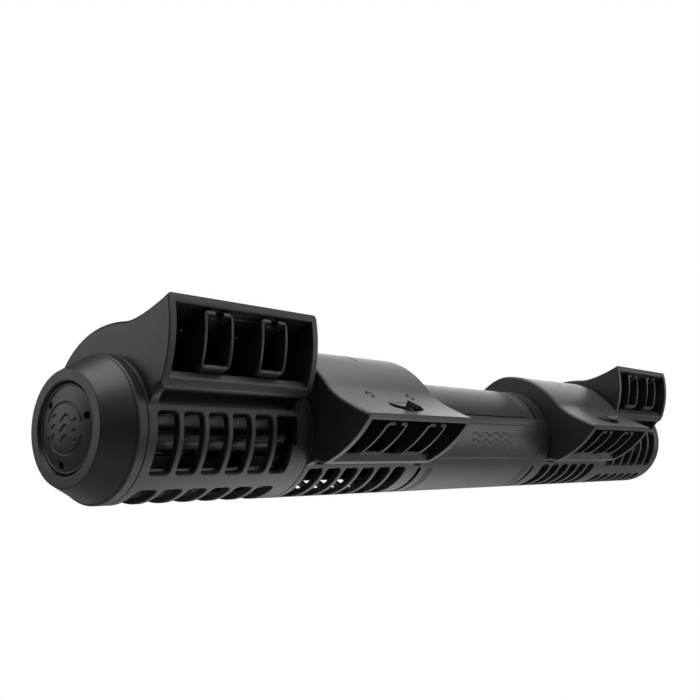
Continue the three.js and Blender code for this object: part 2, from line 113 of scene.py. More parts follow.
# Places of the nozzle are (u, w) points with the unit at swivel 0.
NOZZLE_WALL = 2.2
SIDE_WALL = 3.0
LIP_WALL = 2.8
HOOD_TAIL = {"angle": 150, "r": 26}
HOOD_TOP = (1.6, 33.45)
HOOD_KNEE = (31.9, 18.05)
LIP = (53, 6.7)
# How far each stretch's two handles lie from its ends, from the tail to the lip.
HOOD_HANDLES = [((0, 7), (-11, 0)), ((13.5, 0), (-7.1, 8.5)), ((3.7, -4.45), (-6.8, 2.15))]
MOUTH_FOOT = (29.25, -11.9)
MOUTH_CENTRE = (13.9, 32.2)
MOUTH_R = 46.7
FOOT = {"heel": -31.2, "back": 4.2, "rise": 2.6}
FILLET = 0.6
EDGE = {"hood": 1.6, "foot": 2.2}  # how round the nozzle's long side edges are
RECESS_END = 3.3
RECESS = (-28.7, -16)
SILL = {"foot": 4.9, "top": 4.3, "rim": -25.9, "floor": -22.3}  # in the vanes' own frame
POCKET = {"front": 1.3, "back": -9, "ceiling": -24.6, "below": -33}  # in the vanes' own frame

VANE_TOP = (35.75, 15.1)
VANE_TILT = math.radians(19.1)
VANE_OFFSET = 13
VANE = {"half_width": 6.5, "wall": 1.35, "high": -6, "low": -22.15, "back": -2.5, "inset": 0.9}
NOTCH = {"half_width": 1.9, "from": 13.9}
PIVOT_R = 1
PIVOT_HEAD = 1.4
CRANK_REACH = 11.6
LEVER_SLOT = {"half_angle": math.radians(40), "width": 5}
THROUGH_HOOD = (-5.5, 8)  # heights in the vanes' own frame
THROUGH_FLOOR = (-32, -20)

CAP = {
    "seam": span("right_outer_cage")[1] + 0.3,
    "cone": 204.5,
    "face": 214.6,
    "spigot": 197.3,
    "crown": 13.8,
}
IMPELLER = {"disc_r": 19.8, "bore": 1.8, "disc": 2, "blades": 12, "root": 15.2, "depth": 4.1, "sweep": 15}
PLATE = {"r_in": 25.35, "r_out": 27.5, "low": -31, "high": 21, "half": 55.7}
CABLE = {"x": 33, "r": 2.4, "start": 23, "turn": 28, "bend": 6, "top": 17}


# ---- solids ----

def shares(steps):
    """Even steps from 0 to 1."""
    return [step / steps for step in range(steps + 1)]


def full_turn(sides):
    """Even angles round a circle."""
    return [2 * math.pi * k / sides for k in range(sides)]


def finished(bm):
    """A bmesh as a mesh, with doubled points joined and its faces turned outwards."""
    bmesh.ops.remove_doubles(bm, verts=bm.verts, dist=SAME)
    loose = [edge for edge in bm.edges if not edge.link_faces]
    bmesh.ops.delete(bm, geom=loose, context="EDGES")
    bmesh.ops.recalc_face_normals(bm, faces=bm.faces)
    mesh = bpy.data.meshes.new("solid")
    bm.to_mesh(mesh)
    bm.free()
    return mesh


def loft(rings, closed=False):
    """A solid through rings of points. Closed joins the last ring to the first instead of adding lids."""
    bm = bmesh.new()
    rows = [[bm.verts.new(point) for point in ring] for ring in rings]
    pairs = list(zip(rows, rows[1:]))
    if closed:
        pairs.append((rows[-1], rows[0]))
    count = len(rows[0])
    for lower, upper in pairs:
        for i in range(count):
            j = (i + 1) % count
            bm.faces.new((lower[i], lower[j], upper[j], upper[i]))
    if not closed:
        bm.faces.new(rows[0])
        bm.faces.new(rows[-1])
    return finished(bm)


def lathe(profile, sides=ROUND):
    """A closed profile of (r, x) points turned about the X axis."""
    turns = [(math.cos(t), math.sin(t)) for t in full_turn(sides)]
    return loft([[(x, r * c, r * s) for r, x in profile] for c, s in turns], closed=True)


def prism(outline, start, end):
    """A (u, w) outline as a prism along X."""
    return loft([[(x, -u, w) for u, w in outline] for x in (start, end)])


def upright(outline, low, high):
    """An (x, y) outline as a prism along Z."""
    return loft([[(x, y, z) for x, y in outline] for z in (low, high)])


def circle(r, x=0.0, y=0.0, sides=32):
    """A round outline about a point."""
    return [(x + r * math.cos(t), y + r * math.sin(t)) for t in full_turn(sides)]


def rounded(points, radii, steps=5):
    """A closed outline with its corners rounded. radii is one radius, or one for each corner."""
    if not isinstance(radii, (list, tuple)):
        radii = [radii] * len(points)
    made = []
    for i, (point, radius) in enumerate(zip(points, radii)):
        corner = Vector(point)
        back = Vector(points[i - 1]) - corner
        ahead = Vector(points[(i + 1) % len(points)]) - corner
        half = back.angle(ahead) / 2
        if radius <= 0 or half > math.radians(89):
            made.append(tuple(corner))
            continue
        reach = min(radius / math.tan(half), 0.49 * back.length, 0.49 * ahead.length)
        back.normalize()
        ahead.normalize()
        centre = corner + (back + ahead).normalized() * (reach / math.cos(half))
        first = corner + back * reach - centre
        last = corner + ahead * reach - centre
        turn = math.pi - 2 * half
        for share in shares(steps):
            mixed = first * math.sin((1 - share) * turn) + last * math.sin(share * turn)
            made.append(tuple(centre + mixed / math.sin(turn)))
    return made


def bent(bends, steps=5):
    """A closed outline from pairs of a corner and its radius."""
    return rounded([corner for corner, radius in bends], [radius for corner, radius in bends], steps)


def sweep(points, r, closed=False, sides=10):
    """A round bar along a path."""
    path = [Vector(point) for point in points]
    count = len(path)
    turns = full_turn(sides)
    normal = None
    rings = []
    for i, place in enumerate(path):
        after = path[(i + 1) % count] if closed else path[min(i + 1, count - 1)]
        before = path[i - 1] if closed or i > 0 else place
        ahead = (after - before).normalized()
        if normal is None:
            normal = ahead.orthogonal().normalized()
        normal = (normal - ahead * normal.dot(ahead)).normalized()
        across = ahead.cross(normal)
        rings.append([place + (normal * math.cos(t) + across * math.sin(t)) * r for t in turns])
    return loft(rings, closed)


def block(x, y, z):
    """A box between the two ends of each span."""
    return upright([(x[0], y[0]), (x[1], y[0]), (x[1], y[1]), (x[0], y[1])], *z)


def joined(*meshes):
    """Several meshes as one, without joining their volumes."""
    bm = bmesh.new()
    for mesh in meshes:
        bm.from_mesh(mesh)
    return finished(bm)


def moved(mesh, matrix):
    """The same mesh, moved; a mirror image keeps its faces outwards."""
    mesh.transform(matrix)
    if matrix.determinant() < 0:
        mesh.flip_normals()
    return mesh


def evaluated(worker):
    """An object's mesh with its modifiers applied."""
    bpy.context.view_layer.update()
    depsgraph = bpy.context.evaluated_depsgraph_get()
    return bpy.data.meshes.new_from_object(worker.evaluated_get(depsgraph))


def boolean(base, others, operation="DIFFERENCE"):
    """The base with other solids cut away from it, or joined to it."""
    scene = bpy.context.scene.collection
    worker = bpy.data.objects.new("worker", base)
    scene.objects.link(worker)
    helpers = []
    for other in others:
        helper = bpy.data.objects.new("helper", other)
        scene.objects.link(helper)
        helpers.append(helper)
        step = worker.modifiers.new("step", "BOOLEAN")
        step.operation = operation
        step.solver = "EXACT"
        step.object = helper
    made = evaluated(worker)
    for item in (worker, *helpers):
        bpy.data.objects.remove(item)
    return made


def softened(mesh, rule, segments=3, least=28):
    """Rounds the sharp edges. rule(middle) gives the radius in mm for an edge with that middle."""
    bm = bmesh.new()
    bm.from_mesh(mesh)
    bmesh.ops.remove_doubles(bm, verts=bm.verts, dist=2 * NEARLY_SAME)
    bmesh.ops.dissolve_degenerate(bm, edges=bm.edges, dist=SAME)
    weight = bm.edges.layers.float.new("bevel_weight_edge")
    widths = {}
    for edge in bm.edges:
        if len(edge.link_faces) != 2 or edge.calc_face_angle(0) < math.radians(least):
            continue
        middle = (edge.verts[0].co + edge.verts[1].co) / 2
        width = rule(middle)
        if width > 0:
            widths[edge] = width
    widest = max(widths.values())
    for edge, width in widths.items():
        edge[weight] = width / widest
    made = bpy.data.meshes.new("soft")
    bm.to_mesh(made)
    bm.free()
    worker = bpy.data.objects.new("worker", made)
    bpy.context.scene.collection.objects.link(worker)
    bevel = worker.modifiers.new("bevel", "BEVEL")
    bevel.width = widest
    bevel.segments = segments
    bevel.limit_method = "WEIGHT"
    bevel.use_clamp_overlap = False
    bevel.loop_slide = True
    result = evaluated(worker)
    bpy.data.objects.remove(worker)
    return result


def whole(mesh):
    """The mesh's largest connected part, with its nearly doubled points joined."""
    bm = bmesh.new()
    bm.from_mesh(mesh)
    bmesh.ops.remove_doubles(bm, verts=bm.verts, dist=NEARLY_SAME)
    bmesh.ops.dissolve_degenerate(bm, edges=bm.edges, dist=SAME)
    parts = []
    left = set(bm.verts)
    while left:
        part = set()
        waiting = [left.pop()]
        while waiting:
            point = waiting.pop()
            part.add(point)
            near = {edge.other_vert(point) for edge in point.link_edges} & left
            left -= near
            waiting.extend(near)
        parts.append(part)
    largest = max(parts, key=len)
    bmesh.ops.delete(bm, geom=[point for point in bm.verts if point not in largest], context="VERTS")
    return finished(bm)


def even(width):
    """A rule for softened that gives every sharp edge the same radius."""
    return lambda middle: width


def polar(r, degrees):
    """A (u, w) point at a radius and an angle up from the front."""
    angle = math.radians(degrees)
    return (r * math.cos(angle), r * math.sin(angle))


def on_wall(x, r, degrees):
    """A point in space at a station, a radius and an angle up from the front."""
    u, w = polar(r, degrees)
    return (x, -u, w)


# ---- pieces ----

MATERIALS = {}
INTO_FRAME = Matrix.Translation(AXIS) @ Matrix.Scale(MM, 4)
MIRROR = Matrix.Scale(-1, 4, (1, 0, 0))


def piece(name, mesh, body, slot, nodes, sharp=40):
    """Shows a mesh in the frame, riding on a body in place of its CAD nodes."""
    shown = bpy.data.objects.new(f"{name}_visual", mesh)
    mesh.name = shown.name
    bpy.context.scene.collection.objects.link(shown)
    mesh.shade_smooth()
    mesh.set_sharp_from_angle(angle=math.radians(sharp))
    mesh.materials.clear()
    mesh.materials.append(MATERIALS[slot])
    moved(mesh, INTO_FRAME)
    weighted = shown.modifiers.new("normals", "WEIGHTED_NORMAL")
    weighted.keep_sharp = True
    weighted.weight = 50
    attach(shown, body)
    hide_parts(*nodes)


def both_sides(name, mesh, body, slot, sharp=40, nodes=None):
    """A piece of the right side and its mirror image on the left.

    The motor is one body for both. The piece replaces the CAD node of its own name, or the given ones."""
    for side in ("right", "left"):
        copy = mesh.copy()
        if side == "left":
            moved(copy, MIRROR)
        carrier = body if body == "motor" else f"{side}_{body}"
        replaced = [f"{side}_{node}" for node in nodes or [name]]
        piece(f"{side}_{name}", copy, carrier, slot, replaced, sharp)


# ---- materials ----

class Nodes:
    """Short ways to add and link the shader nodes of one material, or of the world."""

    def __init__(self, owner):
        self.owner = owner
        owner.use_nodes = True
        self.tree = owner.node_tree
        self.tree.nodes.clear()

    def add(self, kind, inputs=None, **settings):
        """A new node. An input is a value, or another node's socket to link to."""
        node = self.tree.nodes.new(kind)
        for key, value in settings.items():
            setattr(node, key, value)
        for key, value in (inputs or {}).items():
            if isinstance(value, bpy.types.NodeSocket):
                self.tree.links.new(value, node.inputs[key])
            else:
                node.inputs[key].default_value = value
        return node

    def stretched(self, scale=(1, 1, 1)):
        """Places on the piece, in the frame's metres, times a scale."""
        places = self.add("ShaderNodeTexCoord").outputs["Object"]
        return self.add("ShaderNodeMapping", {"Vector": places, "Scale": scale}).outputs[0]

    def noise(self, scale, detail=2.0, roughness=0.5, vector=None):
        inputs = {"Vector": vector or self.stretched(), "Scale": scale}
        inputs.update({"Detail": detail, "Roughness": roughness})
        return self.add("ShaderNodeTexNoise", inputs).outputs["Fac"]

    def remap(self, value, low, high, out_low, out_high):
        inputs = {"Value": value, "From Min": low, "From Max": high}
        inputs.update({"To Min": out_low, "To Max": out_high})
        return self.add("ShaderNodeMapRange", inputs).outputs["Result"]

    def maths(self, operation, first, second):
        node = self.add("ShaderNodeMath", {0: first, 1: second}, operation=operation)
        return node.outputs[0]

    def mix(self, share, first, second):
        """Two colours mixed. The node's colour sockets share their names, so they go by number."""
        colours = {0: share, 6: first, 7: second}
        return self.add("ShaderNodeMix", colours, data_type="RGBA").outputs[2]

    def bump(self, height, distance):
        return self.add("ShaderNodeBump", {"Height": height, "Distance": distance}).outputs["Normal"]

    def surface(self, **inputs):
        """The material, finished with a principled shader. Spaces in socket names are underscores here."""
        named = {key.replace("_", " "): value for key, value in inputs.items()}
        shader = self.add("ShaderNodeBsdfPrincipled", named)
        self.add("ShaderNodeOutputMaterial", {"Surface": shader.outputs[0]})
        return self.owner


def grey(value):
    """A colour with equal channels."""
    return (value, value, value, 1)


GRAIN_DEPTH = 0.00001  # metres


def moulded(name, shade, roughness):
    """Spark-textured moulded plastic: fine grain, faint flow marks and a painted highlight that lightens
    the sharp edges.
    """
    nodes = Nodes(bpy.data.materials.new(name))
    fine = nodes.noise(4200, 3, 0.6)
    pores = nodes.noise(1500, 2)
    flow = nodes.noise(28, 3)
    # Painted highlight: where the surface is sharply convex (high pointiness), on the edges, the colour is
    # made lighter.
    pointed = nodes.add("ShaderNodeNewGeometry").outputs["Pointiness"]
    edge_highlight = nodes.remap(pointed, 0.505, 0.56, 0, 0.35)
    tone = nodes.mix(nodes.remap(flow, 0.3, 0.7, 0, 1), grey(shade * 0.92), grey(shade * 1.08))
    speckle = nodes.mix(nodes.remap(fine, 0.35, 0.7, 0, 0.25), tone, grey(shade * 1.5))
    # The painted edge highlight is mixed into the colour here.
    colour = nodes.mix(edge_highlight, speckle, grey(shade * 1.9))
    height = nodes.maths("ADD", fine, nodes.maths("MULTIPLY", pores, 0.7))
    gloss = nodes.remap(nodes.maths("ADD", flow, pores), 0.7, 1.3, roughness - 0.04, roughness + 0.05)
    return nodes.surface(Base_Color=colour, Roughness=gloss, Normal=nodes.bump(height, GRAIN_DEPTH))


def rubber():
    """Dull, faintly cloudy rubber."""
    nodes = Nodes(bpy.data.materials.new("soft_rubber"))
    fine = nodes.noise(2600, 4, 0.65)
    cloud = nodes.noise(60, 3)
    colour = nodes.mix(nodes.remap(cloud, 0.3, 0.7, 0, 1), grey(0.012), grey(0.022))
    rough = nodes.remap(fine, 0.3, 0.7, 0.62, 0.82)
    return nodes.surface(Base_Color=colour, Roughness=rough, Normal=nodes.bump(fine, 0.00002))


def ceramic():
    """Pale polished ceramic for the shafts and bushes."""
    nodes = Nodes(bpy.data.materials.new("polished_ceramic"))
    cloud = nodes.noise(350, 3)
    colour = nodes.mix(cloud, (0.78, 0.75, 0.68, 1), (0.86, 0.84, 0.79, 1))
    rough = nodes.remap(nodes.noise(1800, 2), 0.3, 0.7, 0.18, 0.28)
    return nodes.surface(Base_Color=colour, Roughness=rough, Normal=nodes.bump(cloud, 0.000004))


def metal(name, colour, roughness, streak):
    """Metal with fine turning marks round the pump's axis."""
    nodes = Nodes(bpy.data.materials.new(name))
    lines = nodes.noise(1.0, 4, 0.7, nodes.stretched((streak, 40, 40)))
    stain = nodes.noise(90, 3)
    dark = tuple(channel * 0.75 for channel in colour[:3]) + (1,)
    tone = nodes.mix(nodes.remap(stain, 0.35, 0.65, 0, 1), dark, colour)
    rough = nodes.remap(lines, 0.3, 0.7, roughness - 0.08, roughness + 0.1)
    normal = nodes.bump(lines, 0.000006)
    return nodes.surface(Base_Color=tone, Metallic=1.0, Roughness=rough, Normal=normal)


MATERIALS["housing_plastic"] = moulded("charcoal_plastic", 0.016, 0.42)
MATERIALS["vane_plastic"] = moulded("vane_plastic", 0.013, 0.42)
MATERIALS["knob_plastic"] = moulded("black_plastic", 0.004, 0.55)
MATERIALS["impeller_plastic"] = moulded("impeller_plastic", 0.009, 0.4)
MATERIALS["rubber"] = rubber()
MATERIALS["ceramic"] = ceramic()
MATERIALS["magnet"] = metal("nickel_plate", (0.62, 0.6, 0.57, 1), 0.28, 900)
MATERIALS["core_steel"] = metal("laminated_steel", (0.36, 0.37, 0.39, 1), 0.42, 2600)
MATERIALS["copper"] = metal("enamelled_copper", (0.62, 0.25, 0.09, 1), 0.3, 1800)


def dress_cad_nodes():
    """Gives each CAD node the material of its slot, so that those still shown are finished too."""
    slots = {part["node"]: part["material_slot"] for part in frame["record"]["subparts"]}
    for name, cad in frame["nodes"].items():
        cad.data.materials.clear()
        cad.data.materials.append(MATERIALS[slots[name]])


# ---- outlet units: cage and nozzle ----

def quarter(steps=5):
    """The turns of a quarter circle."""
    return [math.pi / 2 * share for share in shares(steps)]


def wall_cutter(x, degrees, corner=SLOT_CORNER, inner=15.0, outer=33.0, flare=0.0):
    """A rounded rectangle through the cage wall, between two stations and two angles.

    Its sides are radial. The flare rounds the edge that it leaves on the outside of the wall."""
    degree = BODY_R * math.radians(1)
    half, middle = (x[1] - x[0]) / 2, (x[0] + x[1]) / 2
    length = (degrees[1] - degrees[0]) * degree
    bends = [(corner * (1 - math.cos(t)), half - corner * (1 - math.sin(t)), t) for t in quarter()]
    rows = [(along, width, -math.cos(t), math.sin(t)) for along, width, t in bends]
    parts = max(8, math.ceil(length / 2.8))
    for part in range(1, parts):
        rows.append((corner + (length - 2 * corner) * part / parts, half, 0, 1))
    rows += [(length - along, width, math.cos(t), math.sin(t)) for along, width, t in reversed(bends)]
    levels = [(inner, 0)]
    levels += [(BODY_R - flare * (1 - math.sin(t)), flare * (1 - math.cos(t))) for t in quarter(4)]
    levels.append((outer, flare))
    bm = bmesh.new()
    walls = []
    for way in (-1, 1):
        walls.append([[
            bm.verts.new(on_wall(
                middle + way * (width + across * grow),
                r,
                degrees[0] + (along + ahead * grow) / degree,
            ))
            for r, grow in levels
        ] for along, width, ahead, across in rows])
    near, far = walls
    for i in range(len(rows) - 1):
        for j in range(len(levels) - 1):
            for wall in walls:
                bm.faces.new((wall[i][j], wall[i][j + 1], wall[i + 1][j + 1], wall[i + 1][j]))
        for j in (0, -1):
            bm.faces.new((near[i][j], near[i + 1][j], far[i + 1][j], far[i][j]))
    for j in range(len(levels) - 1):
        for i in (0, -1):
            bm.faces.new((near[i][j], near[i][j + 1], far[i][j + 1], far[i][j]))
    return finished(bm)


def spigot(cage_end, spigot_end):
    """The ring at a cage's end that its neighbour swivels on."""
    bore, root, step = SPIGOT_R - 1.5, cage_end - 2.4, cage_end - 0.6
    profile = [
        ((bore, root), 0.2), ((SPIGOT_R + 1, root), 0), ((SPIGOT_R + 1, step), 0),
        ((SPIGOT_R, step), 0.2), ((SPIGOT_R, spigot_end), 0.3), ((bore, spigot_end), 0.2),
    ]
    return lathe(bent(profile, 3))


def pipe(r_in, start, end):
    """A plain length of the pump's body."""
    profile = [(r_in, start), (BODY_R, start), (BODY_R, end), (r_in, end)]
    return lathe(rounded(profile, [0.2, 0.3, 0.3, 0.2], 3))


def tube(unit):
    """The cage: a slotted tube with the duct's window, the recess under the mouth and its end spigot."""
    start, end = unit["cage"]
    made = pipe(BODY_R - WALL, start, end)
    slots = unit["slots"]
    cutters = []
    for degrees in SLOT_ROWS:
        for column in range(SLOT_COLUMNS):
            last = slots["last"] - column * slots["pitch"]
            cutters.append(wall_cutter((last - slots["width"], last), degrees, flare=SLOT_FLARE))
    first, last = unit["nozzle"]
    rim = SIDE_WALL + 0.4
    cutters.append(wall_cutter((first + rim, last - rim), WINDOW, 0.5))
    recess_end = RECESS_END + 0.2
    recess = wall_cutter((first + recess_end, last - recess_end), RECESS, 2.2, inner=23.5)
    made = boolean(made, [joined(*cutters), recess])
    if unit["spigot_end"] is not None:
        made = boolean(made, [spigot(end, unit["spigot_end"])], "UNION")
    else:
        step = slots["last"] - (SLOT_COLUMNS - 1) * slots["pitch"] - slots["width"]
        made = boolean(made, [wall_cutter((step - 1.9, step + 1), (-58, SLOT_ROWS[0][1]), 0.4)])
    return made


def bezier(first, one, two, last, steps):
    """The points of a cubic curve after its first one."""
    points = []
    for t in shares(steps)[1:]:
        s = 1 - t
        pulls = zip((s ** 3, 3 * s * s * t, 3 * s * t * t, t ** 3), (first, one, two, last))
        points.append(tuple(sum((pull * Vector(p) for pull, p in pulls), Vector((0, 0)))))
    return points


def hood_path(steps=16):
    """The hood from its tail behind the cage, over the top, to the lip of the mouth."""
    places = [polar(HOOD_TAIL["r"], HOOD_TAIL["angle"]), HOOD_TOP, HOOD_KNEE, LIP]
    path = [places[0]]
    for first, last, (ahead, back) in zip(places, places[1:], HOOD_HANDLES):
        one = (first[0] + ahead[0], first[1] + ahead[1])
        two = (last[0] + back[0], last[1] + back[1])
        path += bezier(first, one, two, last, steps)
    return path


def inwards(path, distance):
    """An open path's points moved to its right-hand side."""
    made = []
    for i, (u, w) in enumerate(path):
        before, after = path[max(i - 1, 0)], path[min(i + 1, len(path) - 1)]
        du, dw = after[0] - before[0], after[1] - before[1]
        length = math.hypot(du, dw)
        made.append((u + distance * dw / length, w - distance * du / length))
    return made


def mouth_arc(steps=20):
    """The curved mouth from the lip to its foot."""
    angles = [math.atan2(w - MOUTH_CENTRE[1], u - MOUTH_CENTRE[0]) for u, w in (LIP, MOUTH_FOOT)]
    turns = [angles[0] + (angles[1] - angles[0]) * share for share in shares(steps)]
    centre, r = MOUTH_CENTRE, MOUTH_R
    return [(centre[0] + r * math.cos(t), centre[1] + r * math.sin(t)) for t in turns]


def tilted(point, forward, height):
    """Steps from a (u, w) point forward along the vanes' tilt and up across it."""
    c, s = math.cos(VANE_TILT), math.sin(VANE_TILT)
    u, w = point
    return (u + forward * c + height * s, w - forward * s + height * c)


def vane_frame(middle):
    """Where the vanes' own frame lies: on the hood midway between the pivots, leaning forward."""
    place = Matrix.Translation((middle, -VANE_TOP[0], VANE_TOP[1]))
    return place @ Matrix.Rotation(VANE_TILT, 4, "X")


def lever_slot():
    """The curved slot that the lever knob travels in, as a cutter in the vane frame."""
    half, reach = LEVER_SLOT["half_angle"], LEVER_SLOT["width"] / 2
    outline = []
    for way in (1, -1):
        for share in shares(14):
            turn = way * half * (2 * share - 1)
            radial = Vector((math.sin(turn), -math.cos(turn)))
            outline.append(radial * (CRANK_REACH + way * reach))
        along = Vector((math.cos(turn), math.sin(turn)))
        for share in shares(8)[1:-1]:
            bend = math.pi * share
            cap = (radial * math.cos(bend) + along * math.sin(bend)) * way * reach
            outline.append(radial * CRANK_REACH + cap)
    return upright(outline, *THROUGH_HOOD)


def foot_line(steps=10):
    """The nozzle's underside: a hollow curve from the mouth's foot back and down to the cage."""
    heel = polar(BODY_R - 0.1, FOOT["heel"])
    one = tilted(MOUTH_FOOT, -FOOT["back"], 0)
    up, out = polar(FOOT["rise"], FOOT["heel"] + 90), polar(0.5, FOOT["heel"])
    two = tuple(Vector(heel) + Vector(up) + Vector(out))
    return [MOUTH_FOOT] + bezier(MOUTH_FOOT, one, two, heel, steps)


def nozzle_side(x, way, point, fillet):
    """The points of one side wall at one place of the outline, from inside the cage to its crest."""
    height = math.hypot(*point)
    degrees = math.degrees(math.atan2(point[1], point[0]))
    base = min(BODY_R - 0.03, height - 0.6)
    fillet = min(fillet, 0.4 * (height - base))
    made = [on_wall(x - way * fillet, BODY_R - 1.7, degrees)]
    for t in quarter():
        out = x - way * fillet * (1 - math.sin(t))
        made.append(on_wall(out, base + fillet * (1 - math.cos(t)), degrees))
    made.append((x, -point[0], point[1]))
    return made


def nozzle_body(unit):
    """The nozzle before it is hollowed, with a fillet where its sides meet the cage."""
    start, end = unit["nozzle"]
    far_fillet = FILLET if unit["cage"][1] - end > 2 * FILLET else 0.25
    rings = []
    for point in hood_path() + mouth_arc()[1:] + foot_line()[1:]:
        near = nozzle_side(start, 1, point, FILLET)
        far = nozzle_side(end, -1, point, far_fillet)
        rings.append(near + far[::-1])
    return loft(rings)


def edge_cutter(path, x, way, radius):
    """Cuts the side edge along an outline to a round, ever smaller towards the cage."""
    rings = []
    for point, below in zip(path, inwards(path, 1)):
        r = min(radius, 0.5 * (math.hypot(*point) - BODY_R) + 0.05)
        section = [(-1, 1), (r, 1)]
        section += [(r - (r + 0.04) * math.sin(t), (r + 0.04) * math.cos(t) - r) for t in quarter(6)]
        section.append((-1, -r))
        ring = []
        for into, out in section:
            u = point[0] + (point[0] - below[0]) * out
            w = point[1] + (point[1] - below[1]) * out
            ring.append((x + way * into, -u, w))
        rings.append(ring)
    return loft(rings)


def nozzle_edges(unit):
    """The four cutters that round the hood's and the underside's long edges."""
    hood = hood_path()
    over = tuple(2 * Vector(hood[-1]) - Vector(hood[-3]))
    under = [tilted(MOUTH_FOOT, 4, 0)] + foot_line()
    cutters = []
    for x, way in zip(unit["nozzle"], (1, -1)):
        cutters.append(edge_cutter(hood + [over], x, way, EDGE["hood"]))
        cutters.append(edge_cutter(under, x, way, EDGE["foot"]))
    return cutters


def duct_cutter(unit):
    """The duct's hollow: under the hood, thicker at the lip, and over the floor and its sill."""
    start, end = unit["nozzle"]
    beyond = 12
    hood = hood_path()
    hood_line = inwards(hood, NOZZLE_WALL)[2:]
    lip_line = inwards(hood, LIP_WALL)[2:]
    roof = []
    for i, (thin, thick) in enumerate(zip(hood_line, lip_line)):
        share = min(1, max(0, (i - len(hood_line) + 5) / 3))
        roof.append(tuple(Vector(thin).lerp(Vector(thick), share)))
    rim, floor = SILL["rim"], SILL["floor"]
    bends = [
        (tilted(roof[-1], beyond, -0.5), 0), (tilted(VANE_TOP, SILL["foot"] + beyond, rim), 0),
        (tilted(VANE_TOP, SILL["foot"], rim), 0.2), (tilted(VANE_TOP, SILL["top"], floor), 0.5),
        (tilted(VANE_TOP, -beyond, floor), 0),
    ]
    outline = bent([(point, 0) for point in roof] + bends)
    return prism(outline, start + SIDE_WALL, end - SIDE_WALL)


def pocket_cutter(unit):
    """The hollow under the duct's floor, behind the mouth's foot."""
    start, end = unit["nozzle"]
    front, back, ceiling, below = (POCKET[key] for key in ("front", "back", "ceiling", "below"))
    bends = [
        ((front, below), 0), ((front, -27), 0.6), ((front - 0.9, ceiling), 0.8),
        ((back, ceiling), 0), ((back, below), 0),
    ]
    outline = bent([(tilted(VANE_TOP, *place), radius) for place, radius in bends])
    return prism(outline, start + RECESS_END, end - RECESS_END)


def rim_rule(middle):
    """Rounds the edges of the mouth's rim and nothing else."""
    from_rim = math.hypot(-middle.y - MOUTH_CENTRE[0], middle.z - MOUTH_CENTRE[1]) - MOUTH_R
    return 0.4 if abs(from_rim) < 0.03 else 0


def nozzle(unit):
    """The hood, side walls and floor."""
    cutters = [joined(*nozzle_edges(unit)), duct_cutter(unit), pocket_cutter(unit)]
    made = boolean(nozzle_body(unit), cutters)
    return softened(made, rim_rule)


def in_vane_frame(point):
    """A (u, w) point as its distance forward and height in the vane frame."""
    c, s = math.cos(VANE_TILT), math.sin(VANE_TILT)
    du, dw = point[0] - VANE_TOP[0], point[1] - VANE_TOP[1]
    return (du * c - dw * s, du * s + dw * c)


def hood_height(forward):
    """The height of the hood's outside in the vane frame."""
    line = [in_vane_frame(point) for point in hood_path()]
    for (f0, h0), (f1, h1) in zip(line, line[1:]):
        if f0 <= forward <= f1 and f1 > f0:
            return h0 + (h1 - h0) * (forward - f0) / (f1 - f0)
    return 0.0


def dial_marks():
    """The engraved scale behind the lever slot, in the vane frame."""
    first, length, nearest = 8, 11, 5.2
    marks = []
    for i in range(7):
        x = first - length * i / 6
        reach = 1.7 if i % 3 == 0 else 1.2
        path = []
        for share in shares(3):
            forward = nearest + reach * share
            path.append((x * (1 + 0.06 * share), -forward, hood_height(forward)))
        marks.append(sweep(path, 0.42, sides=6))
    return joined(*marks)


def top_mark(middle):
    """A short engraved line on the hood's top, along the flow."""
    path = [point for point in hood_path() if 4 < point[0] < 18 and point[1] > 28]
    return sweep([(middle - 1.6, -u, w - 0.2) for u, w in path], 0.75, sides=8)


def add_shell(name, unit, swivel):
    """The cage and its nozzle as one moulding, with the holes and marks of the vanes' lever."""
    made = boolean(tube(unit), [nozzle(unit)], "UNION")
    middle = sum(unit["nozzle"]) / 2
    place = vane_frame(middle)
    holes = []
    for x in (-VANE_OFFSET, VANE_OFFSET):
        holes.append(upright(circle(PIVOT_HEAD + 0.65, x, 0), *THROUGH_HOOD))
        holes.append(upright(circle(PIVOT_R + 0.45, x, 0), *THROUGH_FLOOR))
    made = boolean(made, [moved(lever_slot(), place), moved(joined(*holes), place)])
    made = boolean(made, [moved(dial_marks(), place), top_mark(middle)])
    nodes = [f"{name}_cage", f"{name}_nozzle"]
    made = moved(whole(made), swivel)
    both_sides(f"{name}_shell", made, f"{name}_unit", "housing_plastic", 35, nodes)


# ---- outlet units: vanes, link and knob, built in the vane frame ----

def subdivided(outer, inner, longest):
    """Two matching closed outlines with points added along their long edges, as pairs."""
    pairs = []
    count = len(outer)
    for i in range(count):
        j = (i + 1) % count
        a0, a1 = Vector(outer[i]), Vector(outer[j])
        b0, b1 = Vector(inner[i]), Vector(inner[j])
        steps = max(1, math.ceil((a1 - a0).length / longest))
        for step in range(steps):
            share = step / steps
            pairs.append((a0.lerp(a1, share), b0.lerp(b1, share)))
    return pairs


def corners(half_width, low, high):
    """A rectangle that is even about zero one way."""
    return [(-half_width, low), (half_width, low), (half_width, high), (-half_width, high)]


